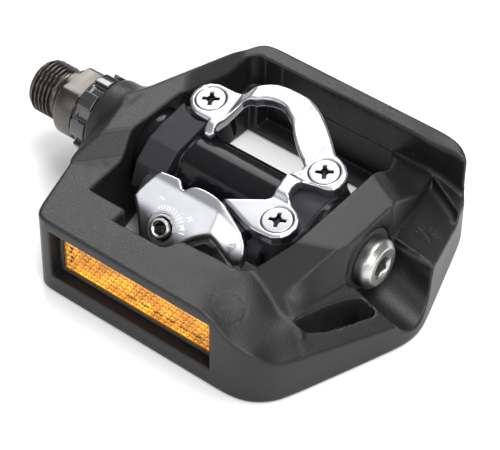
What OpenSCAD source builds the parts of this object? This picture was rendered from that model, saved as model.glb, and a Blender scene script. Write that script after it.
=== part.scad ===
// Clipless pedal, right-hand: a cleat binding on a sprung pop-up cage with edge reflectors.
// Millimetres. X runs outboard along the spindle, Y is forward, Z is up. The origin is on the
// spindle axis at the shoulder that seats on the crank, so the thread reaches to -X.

/* [Spindle] */
// major diameter of the crank thread
thread_d = 14.2; // [14.1:0.05:14.3]
// length of the thread and its relief
thread_len = 9.2; // [8.5:0.1:11]
// pitch of the thread
thread_pitch = 1.27; // [1.2:0.01:1.35]
// diameter of the flange behind the thread
flange_d = 18; // [17.5:0.1:18.6]
// width across the two wrench flats
flats_af = 15; // [14.6:0.1:15.4]

/* [Cage] */
// half of the cage length, front to rear
half_len = 42.4; // [41.5:0.1:43.5]
// height of the rims over the spindle axis
rim_z = 6; // [5.5:0.1:6.5]
// depth of the flat side under the spindle axis
flat_z = 16.7; // [16.2:0.1:17.4]
// height of the raised lands over the spindle
land_z = 10.9; // [10.5:0.1:11.3]
// length of the reflectors
reflector_len = 44.4; // [43:0.1:45]
// height of the reflectors
reflector_h = 11.4; // [11:0.1:12]

/* [Binding] */
// angle by which the binding stands up over the cage at rest
pop_up = 10; // [8:0.5:12]
// height of the cleat seat over the spindle axis, in the binding's own frame
seat_h = 11; // [10.6:0.1:11.4]
// thickness of the front claw plate
claw_t = 3; // [2.8:0.1:3.2]
// outside diameter of the spindle housing
tube_d = 17.2; // [17:0.1:17.6]
// middle of the cleat seat along the spindle
cleat_x = 55.5; // [55:0.1:56]

/* [Output] */
// node to draw, or all

/* [Hidden] */
$fa = 4;
$fs = 0.35;
eps = 0.02;
run = 0.05;

shaft_r = 5.5;
shaft_end = 84;
journal_r = 9.4;
journal_x0 = 13;
journal_x1 = 31;
cap_r = 6.9;
cap_x = 93.4;
body_end = 91.55;
stub_r = 7.4;
lock_x = 8.3;

// plan of the binding's three screw lobes: x, y in the binding frame
lobes = [[36.9, 12.1], [74, 8.8], [73.5, -8.8]];
lobe_r = 6.2;
head_r = 3.6;

// pockets for the reflectors in the two long bars
window_x0 = 30.5;
window_x1 = 78.9;
window_z0 = -11.3;
window_z1 = 3.1;
pocket_d = 3.6;
reflector_x0 = 32.3;

// rear claw pivot in the binding frame, and its adjusting bolt
pin_y = -12.5;
pin_h = 1.5;
pin_r = 2;
bolt_x = 48.9;
bolt_y = -22.7;
bolt_h = 5;
bolt_tilt = 43;

resin = [0.10, 0.10, 0.11];
steel = [0.78, 0.78, 0.80];
dark_steel = [0.30, 0.28, 0.27];
black = [0.06, 0.06, 0.07];
amber = [0.95, 0.50, 0.08];

// a cylinder lying along X from x0 to x1
module along_x(r, x0, x1, r2 = -1) {
  translate([x0, 0, 0])
    rotate([0, 90, 0])
      cylinder(r1 = r, r2 = r2 < 0 ? r : r2, h = x1 - x0);
}

// a flat plan drawn in x, y and raised from z0 to z1
module slab(z0, z1) {
  translate([0, 0, z0])
    linear_extrude(z1 - z0)
      children();
}

// the binding's own frame, standing up by the pop-up angle
module binding_frame() {
  rotate([pop_up, 0, 0])
    children();
}

// a side profile drawn in y, z and run along X from x0 to x1
module profile_x(x0, x1) {
  translate([x0, 0, 0])
    rotate([90, 0, 90])
      linear_extrude(x1 - x0)
        children();
}

// a closed solid between two plans with the same number of corners, given anticlockwise
module loft(low, high) {
  n = len(low);
  floor_faces = [for (i = [1 : n - 2]) [0, i, i + 1]];
  roof_faces = [for (i = [1 : n - 2]) [n, n + i + 1, n + i]];
  sides = [for (i = [0 : n - 1]) each [[i, n + i, (i + 1) % n], [(i + 1) % n, n + i, n + (i + 1) % n]]];
  polyhedron(points = concat(low, high), faces = concat(floor_faces, roof_faces, sides));
}

// ---------- spindle ----------

// crank thread: rings of the thread form, with a lead-in and a relief
module thread() {
  root_r = thread_d / 2 - 0.65;
  turns = floor((thread_len - 1.4) / thread_pitch);
  rotate([0, 90, 0])
    rotate_extrude()
      polygon(concat([[0, -thread_len], [root_r - 0.3, -thread_len]],
        [for (i = [0 : turns - 1]) each [
          [root_r, -thread_len + 0.35 + i * thread_pitch],
          [min(thread_d / 2, root_r + 0.35 + i * 0.3), -thread_len + 0.35 + (i + 0.42) * thread_pitch],
          [min(thread_d / 2, root_r + 0.35 + i * 0.3), -thread_len + 0.35 + (i + 0.58) * thread_pitch]]],
        [[root_r, -thread_len + 0.35 + turns * thread_pitch], [thread_d / 2, -1], [thread_d / 2, 0.5], [0, 0.5]]));
}

module spindle() {
  color(dark_steel)
    difference() {
      union() {
        thread();
        difference() {
          union() {
            along_x(7.4, 0, 1.6, flange_d / 2);
            along_x(flange_d / 2, 1.6, 7.2);
          }
          for (s = [-1, 1])
            translate([-1, -20, s > 0 ? flats_af / 2 : -flats_af / 2 - 10])
              cube([20, 40, 10]);
        }
        along_x(shaft_r, 0.2, 68);
        along_x(shaft_r, 68, 71, 4.2);
        along_x(4.2, 71, shaft_end);
      }
      // hex socket in the crank end
      translate([-thread_len - 1, 0, 0])
        rotate([0, 90, 0])
          cylinder(r = 8 / sqrt(3), h = 8, $fn = 6);
      // flat for the keyed cone
      translate([78.3, -5, 3.7])
        cube([6, 10, 3]);
    }
}

module bearing_cone() {
  color(steel)
    difference() {
      rotate([0, 90, 0])
        rotate_extrude()
          polygon([[4.2 + run, 73], [6.3, 73], [6.3, 74.6], [4.9, 76.4], [4.2 + run, 76.4]]);
    }
}

module lock_nut() {
  color(dark_steel)
    difference() {
      translate([78.6, 0, 0])
        rotate([0, 90, 0])
          cylinder(r = 6.2, h = 3.4, $fn = 6);
      along_x(4.2 + run, 78, 83);
    }
}

// ten balls between the cone and the cup
module bearing_balls() {
  color(steel)
    for (i = [0 : 9])
      rotate([i * 36, 0, 0])
        translate([76.12, 0, 6.33])
          sphere(r = 0.84);
}

// ---------- binding body ----------

// eight-sided collar round the tube, with flat top and bevelled shoulders
module collar_profile() {
  polygon([[-5.1, 9.8], [8, 9.8], [10.6, 5], [10.6, -5], [7, -9.4], [-7, -9.4], [-14, -4], [-14, 1], [-10.6, 6.6]]);
}

module centre_body() {
  color(black)
    difference() {
      union() {
        along_x(journal_r, journal_x0, journal_x1 + 1);
        binding_frame()
          union() {
            along_x(tube_d / 2, 30, 86.7);
            profile_x(31.2, 40.2)
              collar_profile();
            profile_x(68.4, 79.5)
              polygon([[-10, 8], [10, 8], [11.5, 4], [11.5, -5], [7, -9.4], [-7, -9.4], [-11.5, -5], [-11.5, 4]]);
            along_x(9.6, 79.5, 81.5);
            // bosses under the screw lobes
            for (p = lobes)
              translate([p[0], p[1], -2])
                cylinder(r = 5.2, h = seat_h - claw_t + 2);
            // ribs that join the bosses to the collars
            translate([33, 4, -3])
              cube([7.2, 8, 8]);
            // lugs for the claw pin
            for (x = [[35.6, 40.2], [68.4, 72.4]])
              profile_x(x[0], x[1])
                union() {
                  translate([pin_y, pin_h])
                    circle(r = 4.2);
                  translate([pin_y, pin_h - 4.2])
                    square([12, 8.4]);
                }
            // stop that meets the underside of the rear claw
            profile_x(55, 62)
              polygon([[-7, -3], [-7, -8.2], [-11, -8.2], [-12, -6.4]]);
          }
        along_x(stub_r, 84, body_end);
      }
      // bore for the bushing, the spindle and the bearing
      along_x(6.4, journal_x0 - 1, 40);
      along_x(6.2, 39, 72);
      along_x(7.4 + run, 71.5, 79);
      along_x(6.8, 79 - eps, 85);
      // counterbore for the lock bolt
      along_x(8.3 + run, journal_x0 - 1, 18);
      // thread hole for the end cap
      along_x(3.2 + run, 84, body_end + 1);
      binding_frame() {
        for (p = lobes)
          translate([p[0], p[1], 3.5])
            cylinder(r = 1.95, h = 20);
        // seat for the inboard lobe of the front claw
        translate([lobes[0][0], lobes[0][1], seat_h - claw_t])
          cylinder(r = lobe_r + 0.1, h = 10);
        translate([35.5, 6.1, seat_h - claw_t])
          cube([10, 14, 10]);
        // bore for the claw pin
        translate([0, pin_y, pin_h])
          along_x(pin_r, 35.1, 72.1);
      }
    }
}

module lock_bolt() {
  color(black)
    difference() {
      union() {
        difference() {
          along_x(10.5, lock_x, 12.8);
          // castellations for the fitting tool
          for (i = [0 : 7])
            rotate([i * 45 + 12, 0, 0])
              translate([lock_x - 1, -1.7, 8.9])
                cube([4.4, 3.4, 4]);
        }
        along_x(8.3, 12.8 - eps, 17.6);
      }
      along_x(shaft_r + 0.35, 0, 30);
      along_x(8.6, lock_x - 1, lock_x + 0.6);
    }
}

module seal_ring() {
  color([0.15, 0.15, 0.16])
    difference() {
      along_x(8.6, 7.25, 8.9);
      along_x(shaft_r + 0.2, 7, 9);
    }
}

module bushing() {
  color([0.85, 0.84, 0.80])
    difference() {
      along_x(6.4, 18.2, 38);
      along_x(shaft_r + run, 18, 39);
    }
}

module outer_cup() {
  color(steel)
    rotate([0, 90, 0])
      rotate_extrude()
        polygon([[7.45, 72.2], [7.45, 78.6], [6.8, 78.6], [6.8, 78.2], [5.7, 78.2], [5.7, 77.8], [7.21, 76.6], [7.21, 72.2]]);
}

// plan of the front claw: three screw lobes joined by a raised loop
module claw_plan() {
  difference() {
    union() {
      for (p = lobes)
        translate([p[0], p[1]])
          circle(r = lobe_r);
      translate([54.2, 12])
        scale([1.33, 1])
          circle(r = 12.6);
      translate([36.9, 6.5])
        square([6.5, 6]);
      polygon([[36, 18.2], [42, 18], [44, 12], [41, 8], [36, 6.2]]);
      polygon([[67.9, 10], [79.9, 10], [79.7, -9], [67.3, -9]]);
    }
    translate([54.2, 9.2])
      scale([1.18, 1.2])
        circle(r = 9);
    translate([44.4, -10])
      square([19.4, 20]);
    polygon([[38.7, 6.3], [40.4, 6.3], [40.4, 5.8], [68.6, 7], [69, -5], [67, -10], [38.7, -10]]);
  }
}

module front_claw() {
  color(steel)
    binding_frame()
      difference() {
        union() {
          slab(seat_h - claw_t, seat_h)
            claw_plan();
          // the loop is raised so that its lip reaches over the cleat's nose
          intersection() {
            slab(seat_h - 1, seat_h + 1.6)
              claw_plan();
            slab(0, 30)
              translate([54.2, 13])
                circle(r = 13.6);
            profile_x(30, 80)
              polygon([[14, seat_h - 1], [17.5, seat_h + 1.6], [26, seat_h + 1.6], [26, seat_h - 1]]);
          }
          // tab that locates the plate on the body
          translate([40.8, 2.2, seat_h - claw_t])
            cube([3.6, 6, claw_t]);
        }
        along_x(tube_d / 2 + 0.05, 30, 90);
        along_x(9.65, 79.4, 82);
        for (p = lobes)
          translate([p[0], p[1], 0]) {
            cylinder(r = 2.15, h = 30);
            translate([0, 0, seat_h - 1.95])
              cylinder(r1 = 2.15, r2 = head_r + 0.15, h = 1.7);
            translate([0, 0, seat_h - 0.3])
              cylinder(r = head_r + 0.15, h = 3);
          }
      }
}

module claw_screws() {
  color(steel)
    binding_frame()
      for (p = lobes)
        translate([p[0], p[1], 0])
          difference() {
            union() {
              translate([0, 0, 3.8])
                cylinder(r = 1.95, h = seat_h - 4.6);
              translate([0, 0, seat_h - 1.85])
                cylinder(r1 = 2.0, r2 = head_r, h = 1.6);
              translate([0, 0, seat_h - 0.26])
                cylinder(r = head_r, h = 0.2);
            }
            // cross recess
            for (a = [20, 110])
              rotate([0, 0, a])
                translate([-2, -0.42, seat_h - 1.7])
                  cube([4, 0.84, 4]);
          }
}

module claw_pin() {
  color(dark_steel)
    binding_frame()
      translate([0, pin_y, pin_h])
        along_x(pin_r, 35.2, 72);
}

module end_cap() {
  color(steel)
    difference() {
      union() {
        along_x(cap_r, 92.3, cap_x);
        along_x(cap_r, cap_x, cap_x + 2.6, 5.6);
        along_x(5.6, cap_x + 2.6, cap_x + 3.3, 4.9);
        along_x(3.2, 86, 92.4);
      }
      translate([cap_x - 0.4, 0, 0])
        rotate([0, 90, 0])
          cylinder(r = 5 / sqrt(3), h = 8, $fn = 6);
      translate([cap_x + 2.5, 0, 0])
        rotate([0, 90, 0])
          cylinder(r1 = 2.5, r2 = 3.5, h = 1);
    }
}

module end_washer() {
  color(black)
    difference() {
      along_x(8.1, body_end, 92.3);
      along_x(3.3, 90, 94);
    }
}

// torsion spring that raises the binding when no shoe holds it level
module popup_spring() {
  color(dark_steel)
    for (i = [0 : 3])
      translate([81.9 + i * 0.62, 0, 0])
        rotate([0, 90, 0])
          rotate_extrude()
            translate([9.0, 0])
              circle(r = 0.3, $fn = 16);
}

// ---------- cage ----------

// outline of the cage with rounded corners
module cage_outline() {
  rear_k = 0.449;
  front_k = 0.37;
  difference() {
    union() {
      polygon([[28.6, -half_len], [84, -half_len], [90, -41], [94.9, -36.4], [103.3, -13.8], [106.2, -6],
        [107.2, -2], [107.2, 1.5], [106.3, 5.5], [104, 12.6], [97.5, 32.2], [95.3, 36.8], [91, 40.9], [85.5, half_len],
        [31, half_len], [27.4, 39.8], [17.3, 12.5], [15.6, 3], [15.6, -3], [16.4, -13], [25.6, -38.6]]);
      translate([29, -39])
        circle(r = 3.4);
      translate([31.2, 38.2])
        circle(r = 4.2);
      translate([84.2, -31.4])
        circle(r = 11);
      translate([85.2, 32])
        circle(r = 10.4);
    }
  }
}

// the opening that the binding works in
module cage_opening() {
  polygon([[30.6, -27.2], [41.6, -27.2], [41.6, -31.8], [57.4, -31.8], [57.4, -27.2], [75.6, -26.6], [76.6, -24.4],
    [82, -14.9], [82, 14.9], [79.6, 20.5], [80.9, 24.6], [80.2, 33.6], [36, 33.6], [31, 30], [29.2, 12],
    [28.2, 8.8], [28.2, -8.8], [29.8, -15.5]]);
}

module cage_blank() {
  intersection() {
    slab(-flat_z, land_z)
      cage_outline();
    profile_x(10, 115)
      polygon([[-50, -flat_z - 1], [-50, rim_z], [-25.5, rim_z], [-14.3, land_z], [14.8, land_z], [37, rim_z],
        [50, rim_z], [50, -flat_z - 1]]);
  }
}

// everything over a sloping plane through the point o, with slopes gx and gy
module over_plane(o, gx, gy) {
  plan = [[-10, -70], [140, -70], [140, 70], [-10, 70]];
  loft([for (p = plan) [p[0], p[1], o[2] + gx * (p[0] - o[0]) + gy * (p[1] - o[1])]],
    [for (p = plan) [p[0], p[1], 160]]);
}

// the part of a plan that lies over a sloping plane
module sloped_cut(plan, o, gx, gy) {
  intersection() {
    slab(-30, 40)
      polygon(plan);
    over_plane(o, gx, gy);
  }
}

// cuts that shape the outboard decks and the bevels of the raised lands
module cage_cuts() {
  // the ramp that falls from the rear bar to the rear outboard deck
  ramp_at = [76.3, -24.3, rim_z];
  ramp_gx = -0.573;
  ramp_gy = -0.022;
  // outer bevels of the inboard bar
  sloped_cut([[5, 0], [5, -50], [40, -50], [40, 0]], [18.8, 0, land_z], 0.808, 0.2235);
  sloped_cut([[5, 0], [40, 0], [40, 50], [5, 50]], [18.8, 0, land_z], 0.8805, -0.3004);
  // face of the outboard bridge
  slab(-1, 20)
    polygon([[92.9, -8.6], [95.2, 0], [92.9, 8.9], [125, 9.5], [125, -9.5]]);
  // bevels from the land down to the rear bar and to the front deck
  intersection() {
    sloped_cut([[76, -14], [76, -30], [96, -30], [96, -9.9], [92.6, -9.9], [82, -14.9]], [82, -14.9, land_z], -0.344, 0.73);
    over_plane(ramp_at, ramp_gx, ramp_gy);
  }
  intersection() {
    sloped_cut([[60, 9.9], [82, 14.9], [92.6, 9.9], [98, 9.9], [98, 31], [60, 31]], [82, 14.9, land_z], -0.2616, -0.5546);
    over_plane([80, 24.6, 3], 0.05, 0.5);
  }
  // rear outboard deck, with a ramp up to the rear bar
  intersection() {
    sloped_cut([[92.9, -8.6], [89.8, -16], [87.4, -22], [84.6, -27], [76.3, -24.3], [70, -24.3], [70, -60], [130, -60], [130, -8.6]],
      [93.2, -8.6, 0], -0.689, 0.1273);
    over_plane(ramp_at, ramp_gx, ramp_gy);
  }
  // front outboard deck, and the rim that falls to meet it
  sloped_cut([[93.2, 8.6], [130, 8.6], [130, 26], [97.8, 26], [94.7, 28.7], [89.1, 33.4], [86.4, 34.6], [88.9, 28.2], [92, 22], [93.2, 15.3]],
    [93.7, 9, 0.5], -0.1566, -0.2938);
  intersection() {
    sloped_cut([[84, 60], [84, 26], [130, 26], [130, 60]], [93.7, 9, 0.5], -0.1566, -0.2938);
    over_plane([91.4, 40, rim_z], -0.54, 0.62);
  }
  // channel that clears a key for the end cap
  intersection() {
    translate([92.2, 0, 0.2])
      rotate([0, 113, 0])
        cylinder(r1 = 8.75, r2 = 6.2, h = 22);
    translate([92.2, -20, -30])
      cube([40, 40, 60]);
  }
  loft([[92.2, -8.75, 0.2], [112.4, -6.2, -8.4], [112.4, 6.2, -8.4], [92.2, 8.75, 0.2]],
    [[92.2, -8.75, 20], [112.4, -6.2, 20], [112.4, 6.2, 20], [92.2, 8.75, 20]]);
}

// pocket for a reflector and its tray; s is -1 at the rear and 1 at the front
module reflector_pocket(s) {
  translate([window_x0, s > 0 ? half_len - pocket_d : -half_len - 1, window_z0])
    cube([window_x1 - window_x0, pocket_d + 1, window_z1 - window_z0]);
}

module cage() {
  color(resin)
    difference() {
      union() {
        difference() {
          cage_blank();
          slab(-30, 30)
            cage_opening();
          // upper part of the front wall is thinner
          slab(-3.8, 30)
            polygon([[33.5, 30], [80.2, 30], [80.2, 34], [83.5, 37.4], [36.2, 37.4], [32.4, 34.4]]);
          slab(-14.5, -3.7)
            polygon([[33, 30], [80.2, 30], [80.2, 37.8], [33, 37.8]]);
          cage_cuts();
          // through slot in the rear outboard deck
          slab(-30, 30)
            polygon([[95.2, -10.3], [100.4, -10.3], [101.4, -11.6], [100.2, -16.4], [97.6, -22], [95, -25.4], [92.2, -26.8],
              [89.6, -26.2], [89.6, -23.8], [91.9, -17]]);
        }
        // boss behind the lock bolt
        along_x(10.9, 13, 20);
      }
      // bores that turn on the centre body
      along_x(journal_r + run, 10, 33);
      along_x(9.8, 75, 86.8);
      along_x(stub_r + run, 80, 91.5 + eps);
      along_x(8.3, 91.5, 99);
      for (s = [-1, 1])
        reflector_pocket(s);
      // hollows moulded into the flat side of the rear bar
      for (x = [[31, 39.6], [59.4, 78]])
        translate([x[0], -half_len + 4.6, -flat_z - 1])
          cube([x[1] - x[0], 8, 18]);
    }
}

// reflector lens
module reflector(s) {
  color(amber)
    translate([reflector_x0, s > 0 ? half_len - 2.7 : -half_len + 1.5, window_z0 + 1.4])
      cube([reflector_len, 1.2, reflector_h]);
}

module rear_reflector() {
  reflector(-1);
}

module front_reflector() {
  reflector(1);
}

// tray behind each reflector, open at its face
module holder(s) {
  y0 = half_len - pocket_d + eps;
  color(black)
    difference() {
      translate([window_x0 + eps, s > 0 ? y0 : -y0 - 2.6, window_z0 + eps])
        cube([window_x1 - window_x0 - 2 * eps, 2.6, window_z1 - window_z0 - 2 * eps]);
      translate([reflector_x0 - eps, s > 0 ? half_len - 2.7 - eps : -half_len, window_z0 + 1.4 - eps])
        cube([reflector_len + 2 * eps, 2.7 + eps, reflector_h + 2 * eps]);
    }
}

module rear_holder() {
  holder(-1);
}

module front_holder() {
  holder(1);
}

// ---------- rear claw ----------

// plan of the rear claw, winged at its front edge
module rear_claw_plan() {
  polygon([[41.2, -11], [46.6, -11], [48.2, -13], [50.2, -11.4], [58.8, -10.6], [63.4, -12.4], [69.4, -15.4],
    [71.6, -17.4], [73.4, -21], [71.4, -22.6], [62.9, -21.3], [57.2, -26.2], [55.9, -28.8], [51, -29.6],
    [47.2, -28.2], [44.2, -25], [39.6, -21.4], [39.2, -16]]);
}

module rear_claw() {
  color(steel)
    binding_frame()
      difference() {
        union() {
          intersection() {
            slab(-10, 20)
              rear_claw_plan();
            profile_x(38, 75)
              polygon([[-10, 11.6], [-10, 13], [-12.6, 14], [-14.6, 13.6], [-30.2, -0.9], [-30.2, -3.6], [-27.8, -3.6],
                [-16.4, 7.2], [-14.2, 9.2], [-12.6, 11]]);
          }
          // ears that turn on the pin
          for (x = [[40.3, 44.4], [63.8, 67.2]])
            profile_x(x[0], x[1])
              union() {
                translate([pin_y, pin_h])
                  circle(r = 3.4);
                polygon([[pin_y - 3.2, pin_h], [pin_y + 2.4, pin_h], [-12, 11.6], [-16, 10], [-20.5, 5]]);
              }
        }
        translate([0, pin_y, pin_h])
          along_x(pin_r + run, 35, 75);
        translate([bolt_x, bolt_y, bolt_h])
          rotate([bolt_tilt, 0, 0]) {
            translate([0, 0, -20])
              cylinder(r = 2.05, h = 40);
            translate([0, 0, -1])
              cylinder(r = 2.75, h = 12);
          }
      }
}

module claw_spring() {
  color(dark_steel)
    binding_frame()
      for (x0 = [53.2, 59.6])
        for (i = [0 : 2])
          translate([x0 + i * 1.3, pin_y, pin_h])
            rotate([0, 90, 0])
              rotate_extrude()
                translate([3.1, 0])
                  circle(r = 0.6, $fn = 16);
}

// the frame of the adjusting bolt, with its axis leaning back
module bolt_frame() {
  binding_frame()
    translate([bolt_x, bolt_y, bolt_h])
      rotate([bolt_tilt, 0, 0])
        children();
}

// plate that the nut lifts to load the springs
module spring_plate() {
  color(dark_steel)
    bolt_frame()
      difference() {
        union() {
          translate([-3.6, -3, -9.6])
            cube([7.2, 5.9, 0.95]);
          translate([-3.6, -3, -9.6])
            cube([18.2, 2.8, 0.95]);
          translate([10, -3, -9.6])
            cube([4.6, 0.95, 3.4]);
        }
        translate([0, 0, -12])
          cylinder(r = 2.0 + run, h = 6);
      }
}

module adjust_bolt() {
  color(steel)
    bolt_frame()
      difference() {
        union() {
          translate([0, 0, -0.95])
            cylinder(r = 2.7, h = 2.2);
          translate([0, 0, -11])
            cylinder(r = 2.0, h = 10.2);
        }
        translate([0, 0, -0.2])
          cylinder(r = 3 / sqrt(3), h = 4, $fn = 6);
      }
}

module tension_nut() {
  color(dark_steel)
    bolt_frame()
      difference() {
        translate([-3.6, -2.9, -8.64])
          cube([7.2, 5.8, 2.4]);
        translate([0, 0, -12])
          cylinder(r = 2.0 + run, h = 10);
      }
}

spindle();
bearing_cone();
lock_nut();
bearing_balls();
centre_body();
lock_bolt();
seal_ring();
bushing();
outer_cup();
front_claw();
claw_screws();
claw_pin();
end_cap();
end_washer();
popup_spring();
cage();
rear_reflector();
front_reflector();
rear_holder();
front_holder();
rear_claw();
claw_spring();
spring_plate();
adjust_bolt();
tension_nut();
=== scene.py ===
import bpy
import bmesh
import math
import numpy as np
from mathutils import Vector, Matrix


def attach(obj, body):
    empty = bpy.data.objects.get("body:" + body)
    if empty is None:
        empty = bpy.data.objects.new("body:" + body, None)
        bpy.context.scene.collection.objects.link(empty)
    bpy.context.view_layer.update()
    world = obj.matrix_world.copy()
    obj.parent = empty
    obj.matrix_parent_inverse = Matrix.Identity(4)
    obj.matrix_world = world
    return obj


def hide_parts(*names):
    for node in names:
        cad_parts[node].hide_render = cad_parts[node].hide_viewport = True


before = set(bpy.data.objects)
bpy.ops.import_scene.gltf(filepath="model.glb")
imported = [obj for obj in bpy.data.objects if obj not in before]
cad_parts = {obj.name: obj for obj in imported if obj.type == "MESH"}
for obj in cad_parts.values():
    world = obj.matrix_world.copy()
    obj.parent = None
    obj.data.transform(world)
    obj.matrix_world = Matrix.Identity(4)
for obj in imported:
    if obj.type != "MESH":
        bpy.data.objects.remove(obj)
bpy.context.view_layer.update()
MM = 0.001
TILT = math.radians(10)  # the binding stands up from the cage by this angle


# ---------- distance fields, in millimetres ----------

def smax(a, b, k):
    """The larger of two distances, blended over k: an intersection with an eased edge."""
    h = np.clip(0.5 + 0.5 * (a - b) / k, 0, 1)
    return b + (a - b) * h + k * h * (1 - h)


def smin(a, b, k):
    """The smaller of two distances, blended in the same way: a union with a fillet."""
    return -smax(-a, -b, k)


def poly2d(u, v, pts, r=0.0):
    """Signed distance to a closed polygon in a plane; r rounds the corners outwards."""
    u, v = np.broadcast_arrays(u, v)
    best = np.full(u.shape, 1e9)
    inside = np.zeros(u.shape, bool)
    n = len(pts)
    for i in range(n):
        (ax, ay), (bx, by) = pts[i], pts[(i + 1) % n]
        ex, ey = bx - ax, by - ay
        wx, wy = u - ax, v - ay
        t = np.clip((wx * ex + wy * ey) / (ex * ex + ey * ey), 0, 1)
        dx, dy = wx - ex * t, wy - ey * t
        best = np.minimum(best, dx * dx + dy * dy)
        cross = ex * wy - ey * wx
        inside ^= ((wy >= 0) & (v < by) & (cross > 0)) | ((wy < 0) & (v >= by) & (cross < 0))
    d = np.sqrt(best)
    return np.where(inside, -d, d) - r


def plane(x, y, z, o, gx, gy):
    """Positive over a sloping plane through the point o."""
    return (z - (o[2] + gx * (x - o[0]) + gy * (y - o[1]))) / math.sqrt(1 + gx * gx + gy * gy)


def apart(u, v, cu=0.0, cv=0.0):
    """Distance in a plane from the point cu, cv."""
    return np.sqrt((u - cu) ** 2 + (v - cv) ** 2)


def span(u, low, high):
    """How far u is outside the span from low to high; less than zero within it."""
    return np.maximum(low - u, u - high)


def cyl_x(x, y, z, r, x0, x1, k, cy=0.0, cz=0.0):
    """A round bar along X, from x0 to x1."""
    return smax(apart(y, z, cy, cz) - r, span(x, x0, x1), k)


def box3(x, y, z, lo, hi, k=0.4):
    """A box between two corners."""
    dx, dy, dz = (span(u, lo[i], hi[i]) for i, u in enumerate((x, y, z)))
    return smax(smax(dx, dy, k), dz, k)


def linked(name, data):
    """A new object in the scene's own collection."""
    ob = bpy.data.objects.new(name, data)
    bpy.context.scene.collection.objects.link(ob)
    return ob


def cell_corners():
    return [(a, b, c) for a in (0, 1) for b in (0, 1) for c in (0, 1)]


def net_points(g, ci, cj, ck):
    """For each cell that the surface crosses, the mean of where it crosses the cell's edges, in cells."""
    p = np.zeros((len(ci), 3), np.float64)
    w = np.zeros(len(ci))
    for a in cell_corners():
        for d in range(3):
            if a[d]:
                continue
            b = list(a)
            b[d] = 1
            ga = g[ci + a[0], cj + a[1], ck + a[2]]
            gb = g[ci + b[0], cj + b[1], ck + b[2]]
            m = (ga < 0) != (gb < 0)
            t = np.where(m, ga / np.where(m, ga - gb, 1), 0)
            q = np.tile(np.array(a, float), (len(ci), 1))
            q[:, d] += t
            p += q * m[:, None]
            w += m
    return p / w[:, None]


def net_quads(s, index):
    """One quad for each grid edge that the surface crosses, between the cells round that edge."""
    quads = []
    for d in range(3):
        sl0 = [slice(1, -1)] * 3
        sl0[d] = slice(0, -1)
        sl1 = list(sl0)
        sl1[d] = slice(1, None)
        a, b = s[tuple(sl0)], s[tuple(sl1)]
        e = np.argwhere(a != b)
        if not len(e):
            continue
        flip = a[tuple(e.T)]
        base = e + 1
        base[:, d] = e[:, d]
        u, v = [i for i in range(3) if i != d]
        out = []
        for du, dv in ((0, 0), (1, 0), (1, 1), (0, 1)):
            c = base.copy()
            c[:, u] -= du
            c[:, v] -= dv
            out.append(index[c[:, 0], c[:, 1], c[:, 2]])
        q = np.stack(out, 1)
        if d == 1:
            flip = ~flip
        q[~flip] = q[~flip][:, ::-1]
        quads.append(q)
    quads = np.concatenate(quads)
    return quads[(quads >= 0).all(1)]


def slope_of(fn, v, reach=0.02):
    """The gradient of fn at each vertex, from points reach mm to either side."""
    x, y, z = v[:, 0], v[:, 1], v[:, 2]
    across = [fn(x + reach, y, z) - fn(x - reach, y, z), fn(x, y + reach, z) - fn(x, y - reach, z),
              fn(x, y, z + reach) - fn(x, y, z - reach)]
    return np.stack(across, 1) / (2 * reach)


def mesh_field(name, fn, lo, hi, h, steps=3):
    """Surface nets over fn(x, y, z), then each vertex is drawn onto the surface. All sizes in mm."""
    ax = [np.arange(lo[i], hi[i] + h, h) for i in range(3)]
    g = fn(ax[0][:, None, None], ax[1][None, :, None], ax[2][None, None, :])
    g = np.ascontiguousarray(np.broadcast_to(g, tuple(len(a) for a in ax)), dtype=np.float32)
    g = np.where(g == 0, np.float32(1e-6), g)
    nx, ny, nz = g.shape
    s = g < 0
    count = np.zeros((nx - 1, ny - 1, nz - 1), np.int8)
    for i, j, k in cell_corners():
        count += s[i:nx - 1 + i, j:ny - 1 + j, k:nz - 1 + k]
    cells = np.nonzero((count > 0) & (count < 8))
    p = net_points(g, *cells)
    verts = np.stack([ax[i][0] + (cells[i] + p[:, i]) * h for i in range(3)], 1)
    index = np.full(count.shape, -1, np.int64)
    index[cells] = np.arange(len(verts))
    quads = net_quads(s, index)
    for _ in range(steps):
        n = slope_of(fn, verts)
        step = fn(verts[:, 0], verts[:, 1], verts[:, 2]) / np.maximum((n * n).sum(1), 0.2)
        verts = verts - n * np.clip(step, -h * 0.5, h * 0.5)[:, None]
    me = bpy.data.meshes.new(name)
    me.vertices.add(len(verts))
    me.vertices.foreach_set("co", (verts * MM).ravel())
    me.loops.add(quads.size)
    me.loops.foreach_set("vertex_index", quads.ravel().astype(np.int32))
    me.polygons.add(len(quads))
    me.polygons.foreach_set("loop_start", np.arange(0, quads.size, 4, dtype=np.int32))
    me.polygons.foreach_set("use_smooth", np.ones(len(quads), bool))
    me.update(calc_edges=True)
    me.validate()
    return linked(name, me)


# ---------- the cage ----------

LAND, RIM, FLAT = 10.9, 6.0, 16.7  # heights of the bridge's land and the bars, and depth of the underside


def eased(pts, cut, times=3):
    """Cuts the corners of a closed polygon so that they read as curves."""
    for _ in range(times):
        out = []
        n = len(pts)
        for i in range(n):
            a, b, c = (np.array(pts[(i + k - 1) % n], float) for k in range(3))
            for q in (a, c):
                dist = np.linalg.norm(q - b)
                out.append(tuple(b + (q - b) * min(0.25, cut / dist)))
        pts = out
        cut *= 0.5
    return pts


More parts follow.
